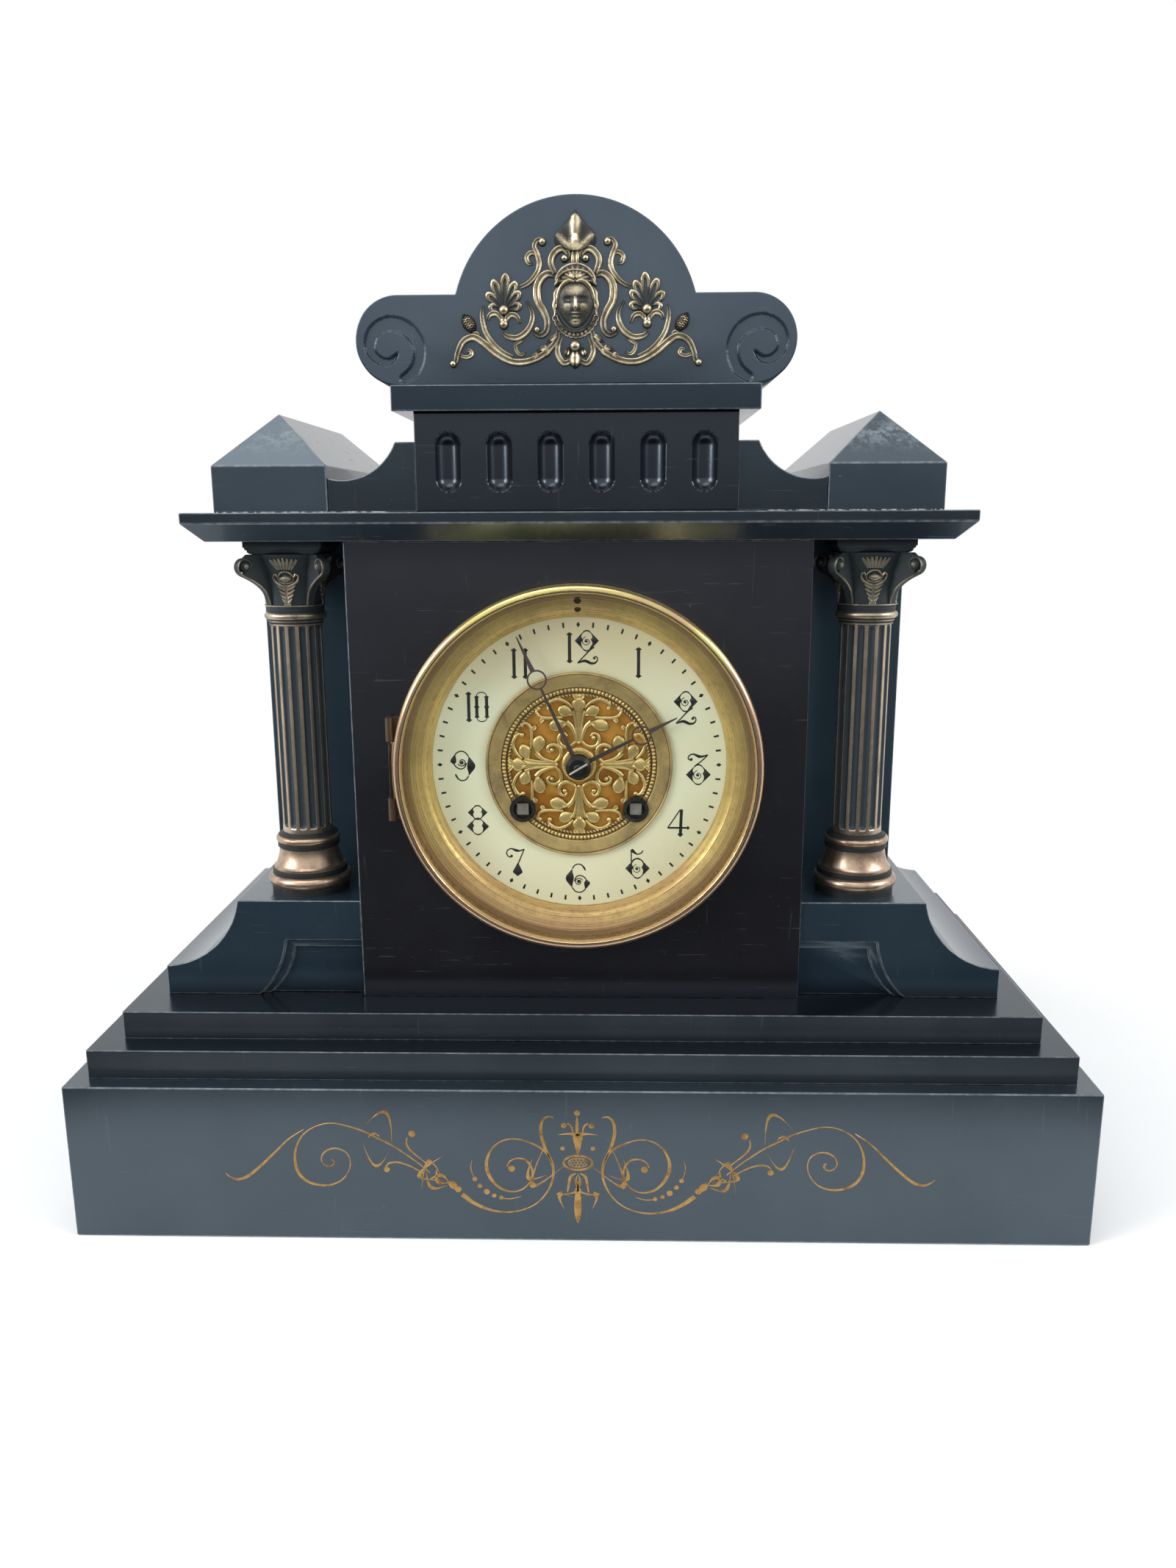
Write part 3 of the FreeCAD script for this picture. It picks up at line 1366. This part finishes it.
def strike_train():
    lean, back_lean = meshed(strike_place, strike_second_spot, second_pinion_teeth)
    pinion_front = great_front - pinion_overlap
    pinion_width = great_wheel_width + 2 * pinion_overlap
    wheel_lean, pin_lean = meshed(strike_second_spot, pin_spot, pin_pinion_teeth)
    wheel = gear(strike_second_spot, second_front, wheel_width, strike_second_teeth,
                 strike_second_module, wheel_lean)
    reach = strike_second_teeth * strike_second_module / 2
    wheel = crossed_out(wheel, strike_second_spot, second_front, wheel_width, reach * 0.30,
                        reach * 0.80, 4)
    pinion = gear(strike_second_spot, pinion_front, pinion_width, second_pinion_teeth,
                  great_module, back_lean)
    front = plate_back + shoulder_gap
    count_front = rear_plate_back + count_wheel_standoff
    count_back = count_front + wheel_width
    shaft = arbor(strike_second_spot, ((pivot_radius, plate_front, front),
                                       (arbor_radius, front, count_back + wheel_width)))
    count = rod_y(count_wheel_radius, count_front, count_back, *strike_second_spot)
    blows = 0
    for hour in range(1, 13):
        blows += hour + 1
        lean = 360 * blows / count_divisions
        notch = block(count_wheel_radius - count_notch_depth, count_wheel_radius + overrun,
                      count_front - overrun, count_back + overrun,
                      -count_notch_width / 2, count_notch_width / 2)
        notch.rotate(V(0, 0, 0), V(0, -1, 0), lean)
        notch.translate(at(strike_second_spot[0], 0, strike_second_spot[1]))
        count = count.cut(notch)
    save("strike_second_wheel", joined([wheel, pinion, count] + shaft))

    wheel_lean, fly_lean = meshed(pin_spot, fly_spot, fly_pinion_teeth)
    wheel = gear(pin_spot, pin_front, wheel_width, pin_teeth, pin_module, wheel_lean)
    pinion_front = second_front - pinion_overlap
    pinion = gear(pin_spot, pinion_front, wheel_width + 2 * pinion_overlap, pin_pinion_teeth,
                  strike_second_module, pin_lean)
    pins = []
    for index in range(pin_count):
        spot = polar(*pin_spot, pin_circle, (index + 0.5) * 360 / pin_count)
        pins.append(rod_y(lifting_pin_radius, pin_front, pin_front + wheel_width +
                          lifting_pin_length, *spot))
    save("pin_wheel", joined([wheel, pinion] + pins + between_plates(
        pin_spot, arbor_radius, pinion_front, pinion_front + wheel_width)))

    pinion_front = pin_front - pinion_overlap
    pinion_back = pin_front + wheel_width + pinion_overlap
    pinion = gear(fly_spot, pinion_front, pinion_back - pinion_front, fly_pinion_teeth,
                  pin_module, fly_lean)
    blade = block(fly_spot[0] - fly_half_width, fly_spot[0] + fly_half_width, fly_front,
                  fly_front + fly_length, fly_spot[1] - fly_blade / 2,
                  fly_spot[1] + fly_blade / 2)
    save("fly", joined([pinion, blade] + between_plates(
        fly_spot, arbor_radius, fly_front + fly_length, pinion_back + wheel_width)))


def hammer():
    """Arbor with a lifting tail between the plates, and the arm behind them."""
    gap = math.dist(hammer_spot, bell_spot)
    head_distance = bell_radius + bell_hammer_gap + hammer_head_radius
    arm_length = math.sqrt(gap * gap - head_distance * head_distance)
    head = crossing(hammer_spot, arm_length, bell_spot, head_distance, -1)
    arm_front = rear_plate_back + hammer_standoff
    arm_back = arm_front + hammer_arm_thickness
    arm = block(0, arm_length, arm_front, arm_back, -hammer_arm_width / 2,
                hammer_arm_width / 2)
    arm.rotate(V(0, 0, 0), V(0, -1, 0), bearing(hammer_spot, head))
    arm.translate(at(hammer_spot[0], 0, hammer_spot[1]))
    head_front = bell_front + wheel_width / 2
    tail_front = pin_front + wheel_width + pinion_overlap
    tail = block(0, hammer_tail, tail_front, tail_front + hammer_arm_thickness,
                 -hammer_arm_width / 3, hammer_arm_width / 3)
    tail.rotate(V(0, 0, 0), V(0, -1, 0), bearing(hammer_spot, pin_spot))
    tail.translate(at(hammer_spot[0], 0, hammer_spot[1]))
    front = plate_back + shoulder_gap
    shaft = arbor(hammer_spot, ((pivot_radius, plate_front, front),
                                (arbor_radius, front, arm_back)))
    pieces = [arm, tail, rod_y(hammer_arm_width / 1.5, arm_front, arm_back, *hammer_spot),
              rod_y(hammer_arm_width / 2, arm_front, arm_back, *head),
              rod_y(hammer_neck_radius, arm_front, head_front, *head),
              rod_y(hammer_head_radius, head_front, head_front + hammer_head_length, *head)]
    save("hammer", joined(pieces + shaft))


def escapement():
    band_radius = pallet_height - escape_height
    nib = escape_radius + pallet_clearance
    inner = band_radius - pallet_arm_width / 2
    pieces = [arc_band(*escape_spot, band_radius, 90 - pallet_reach_angle,
                       90 + pallet_reach_angle, escape_front, wheel_width, pallet_arm_width)]
    for side in (-1, 1):
        tip = block(nib, band_radius, escape_front, escape_front + wheel_width,
                    -pallet_arm_width / 4, pallet_arm_width / 4)
        tip.rotate(V(0, 0, 0), V(0, -1, 0), 90 + side * pallet_reach_angle)
        tip.translate(at(escape_spot[0], 0, escape_spot[1]))
        pieces.append(tip)
    pieces.append(rod_y(pallet_hub_radius, escape_front, escape_front + wheel_width,
                        *pallet_spot))
    crutch_front = rear_plate_back + crutch_standoff
    crutch_back = crutch_front + crutch_thickness
    fork_z = pallet_spot[1] - crutch_length
    pieces.append(rod_y(pallet_hub_radius, crutch_front, crutch_back, *pallet_spot))
    pieces.append(block(-crutch_width / 2, crutch_width / 2, crutch_front, crutch_back,
                        fork_z, pallet_spot[1]))
    inside = rod_radius + fork_clearance
    outside = inside + fork_prong
    low = fork_z - fork_height / 2
    high = fork_z + fork_height / 2
    pieces.append(block(-outside, outside, crutch_front, crutch_back, low, high))
    for side in (-1, 1):
        x0, x1 = sorted((side * inside, side * outside))
        pieces.append(block(x0, x1, crutch_front, pendulum_y + 2 * rod_radius, low, high))
    front = plate_back + shoulder_gap
    back = cock_front - shoulder_gap
    pieces += arbor(pallet_spot, ((pivot_radius, plate_front, front),
                                  (pallet_arbor_radius, front, back),
                                  (pivot_radius, back, cock_front + cock_cheek)))
    save("pallets", joined(pieces))


def suspension():
    """The cock on the back plate that carries the pallet pivot, the pendulum's pin and the
    rear end of the regulator arbor."""
    half = cock_width / 2
    low = pallet_spot[1] - cock_drop
    high = suspension_z + cock_rise
    cheek_back = cock_front + cock_cheek
    rear = cheek_back + cock_slot
    pieces = [block(-half, half, cock_front, cheek_back, low, high),
              block(-half, half, cheek_back, rear, high - cock_bridge, high),
              block(-half, half, rear, rear + cock_cheek, suspension_z - cock_drop, high),
              rod_y(suspension_pin_radius, cock_front, rear + cock_cheek, 0, suspension_z)]
    for side in (-1, 1):
        x0, x1 = sorted((side * half, side * (half - cock_cheek)))
        pieces.append(block(x0, x1, rear_plate_back, cock_front, low, high))
    arbor_z = dial_z + regulator_radius
    tower_top = arbor_z + 2 * regulator_collar_radius
    pieces.append(block(-tower_width / 2, tower_width / 2, cock_front,
                        cock_front + tower_depth, high - cock_bridge, tower_top))
    cock = joined(pieces)
    cock = cock.cut(rod_y(pivot_radius + running_clearance, cock_front - overrun,
                          cheek_back + overrun, *pallet_spot))
    cock = cock.cut(rod_y(regulator_arbor_radius + running_clearance, cock_front - overrun,
                          cock_front + tower_depth + overrun, 0, arbor_z))
    save("suspension_cock", cock)
    tower_back = cock_front + tower_depth
    half = regulator_square / 2
    square_back = regulator_front + regulator_square_length
    gap = 2 * running_clearance
    collars = [rod_y(regulator_collar_radius, y0, y0 + regulator_collar_width, 0, arbor_z)
               for y0 in (backing_back + gap, cock_front - gap - regulator_collar_width,
                          tower_back + gap)]
    shaft = rod_y(regulator_arbor_radius, square_back,
                  tower_back + 2 * regulator_collar_width, 0, arbor_z)
    square = block(-half, half, regulator_front, square_back, arbor_z - half, arbor_z + half)
    save("regulator_arbor", joined([shaft, square] + collars))


def pendulum():
    half = strip_width / 2
    eye = rod_y(hook_size / 2, pendulum_y - half, pendulum_y + half, 0, suspension_z)
    strip_low = suspension_z - hook_size / 2 - strip_length
    strip = block(-strip_thickness / 2, strip_thickness / 2, pendulum_y - half,
                  pendulum_y + half, strip_low, suspension_z)
    chop = block(-half * 0.7, half * 0.7, pendulum_y - half, pendulum_y + half,
                 strip_low - hook_size, strip_low)
    bob_z = suspension_z - pendulum_length
    end = bob_z - bob_radius - 2 * nut_height
    rod = rod_z(rod_radius, end, strip_low, 0, pendulum_y)
    whole = joined([eye, strip, chop, rod])
    save("pendulum", whole.cut(rod_y(suspension_pin_radius + running_clearance,
                                     pendulum_y - cock_slot, pendulum_y + cock_slot, 0,
                                     suspension_z)))
    edge = bob_edge / 2
    back = bob_thickness / 2
    lens = turned_y([(0, pendulum_y - back),
                     ((bob_radius * 0.62, pendulum_y - back * 0.72),
                      (bob_radius, pendulum_y - edge)),
                     (bob_radius, pendulum_y + edge),
                     ((bob_radius * 0.62, pendulum_y + back * 0.72), (0, pendulum_y + back))],
                    0, bob_z)
    bore = rod_z(rod_radius + running_clearance / 5, bob_z - 2 * bob_radius,
                 bob_z + 2 * bob_radius, 0, pendulum_y)
    top = bob_z - bob_radius + seat_clearance
    nut = rod_z(nut_radius, top - nut_height, top, 0, pendulum_y)
    save("pendulum_bob", lens.cut(bore), nut.cut(bore))


def motion_work():
    lean, back_lean = meshed(stud_spot, centre, cannon_teeth)
    pipe = rod_y(minute_pipe_radius, minute_boss_back, plate_front - seat_clearance, *centre)
    pinion = gear(centre, minute_wheel_front - pinion_overlap, motion_width +
                  2 * pinion_overlap, cannon_teeth, motion_module, back_lean)
    bore = rod_y(centre_arbor_radius + running_clearance, minute_hand_front - overrun,
                 plate_front + overrun, *centre)
    save("cannon_pinion", joined([pipe, pinion]).cut(bore))
    wheel = gear(stud_spot, minute_wheel_front, motion_width, minute_wheel_teeth,
                 motion_module, lean)
    hour_lean, small_lean = meshed(centre, stud_spot, minute_pinion_teeth)
    small = gear(stud_spot, hour_wheel_front - pinion_overlap,
                 minute_wheel_front - hour_wheel_front + pinion_overlap, minute_pinion_teeth,
                 motion_module, small_lean)
    hub = rod_y(minute_pipe_radius, minute_wheel_front, plate_front - seat_clearance,
                *stud_spot)
    hole = rod_y(minute_stud_radius + running_clearance, hour_wheel_front - 2 * overrun,
                 plate_front + overrun, *stud_spot)
    save("minute_wheel", joined([wheel, small, hub]).cut(hole))
    wheel = gear(centre, hour_wheel_front, motion_width, hour_teeth, motion_module, hour_lean)
    front = hour_hand_front + hand_boss_height
    pipe = rod_y(hour_pipe_radius, front, hour_wheel_front + motion_width, *centre)
    sleeve = rod_y(minute_pipe_radius + 2 * running_clearance, front - overrun,
                   minute_wheel_front, *centre)
    save("hour_wheel", joined([wheel, pipe]).cut(sleeve))


def hand(length, moon, front, thickness, bore, lean):
    """A tapered strip, an open moon and a fine point, on a round boss."""
    x, z = centre
    ring_out = moon + moon_radius
    ring_in = moon - moon_radius
    root = [(hand_boss_radius / 2, -hand_root_width / 2),
            (ring_in + moon_wall / 2, -hand_neck_width / 2),
            (ring_in + moon_wall / 2, hand_neck_width / 2),
            (hand_boss_radius / 2, hand_root_width / 2)]
    point = [(ring_out - moon_wall / 2, -hand_root_width / 2),
             (length, -hand_point_width / 2), (length, hand_point_width / 2),
             (ring_out - moon_wall / 2, hand_root_width / 2)]
    back = front + thickness
    pieces = [plate_xz(root, front, thickness), plate_xz(point, front, thickness),
              tube_y(moon_radius, moon_radius - moon_wall, front, back, moon, 0),
              rod_y(hand_boss_radius, front, front + hand_boss_height, 0, 0)]
    whole = joined(pieces).cut(rod_y(bore, front - overrun, back + overrun, 0, 0))
    whole.rotate(V(0, 0, 0), V(0, -1, 0), 90 - lean)
    whole.translate(at(x, 0, z))
    return whole


def taper_pin(radius, extra):
    """The pin across the centre arbor in front of the collet, at right angles to the hand."""
    y = collet_front - taper_pin_radius + running_clearance
    half = taper_pin_length / 2 + extra
    pin = Part.makeCylinder(radius, 2 * half, at(-half, 0, 0), V(1, 0, 0))
    pin.rotate(V(0, 0, 0), V(0, -1, 0), -minute_hand_angle)
    pin.translate(at(centre[0], y, centre[1]))
    return pin


def hands():
    save("hour_hand", hand(hour_hand_length, hour_moon_distance, hour_hand_front,
                           hour_hand_thickness, minute_pipe_radius + 2 * running_clearance,
                           hour_hand_angle))
    save("minute_hand", hand(minute_hand_length, minute_moon_distance, minute_hand_front,
                             minute_hand_thickness, arbor_nose_radius + running_clearance,
                             minute_hand_angle))
    collet = turned_y([(0, minute_hand_front), (collet_radius, minute_hand_front),
                       (collet_radius, minute_hand_front - collet_height / 3),
                       (collet_radius * 0.72, collet_front), (0, collet_front)], *centre)
    collet = collet.cut(rod_y(arbor_nose_radius + running_clearance, collet_front - overrun,
                              minute_hand_front + overrun, *centre))
    save("hand_collet", joined([collet, taper_pin(taper_pin_radius, 0)]))


slate_base()
column_plinth()
slate_body()
cornice()
roof_block()
frieze()
pediment()
gilt_mount()
column()
dial()
bezel()
rear_door()
straps()
frame_plates()
barrels()
going_train()
strike_train()
hammer()
bell()
escapement()
suspension()
pendulum()
motion_work()
hands()
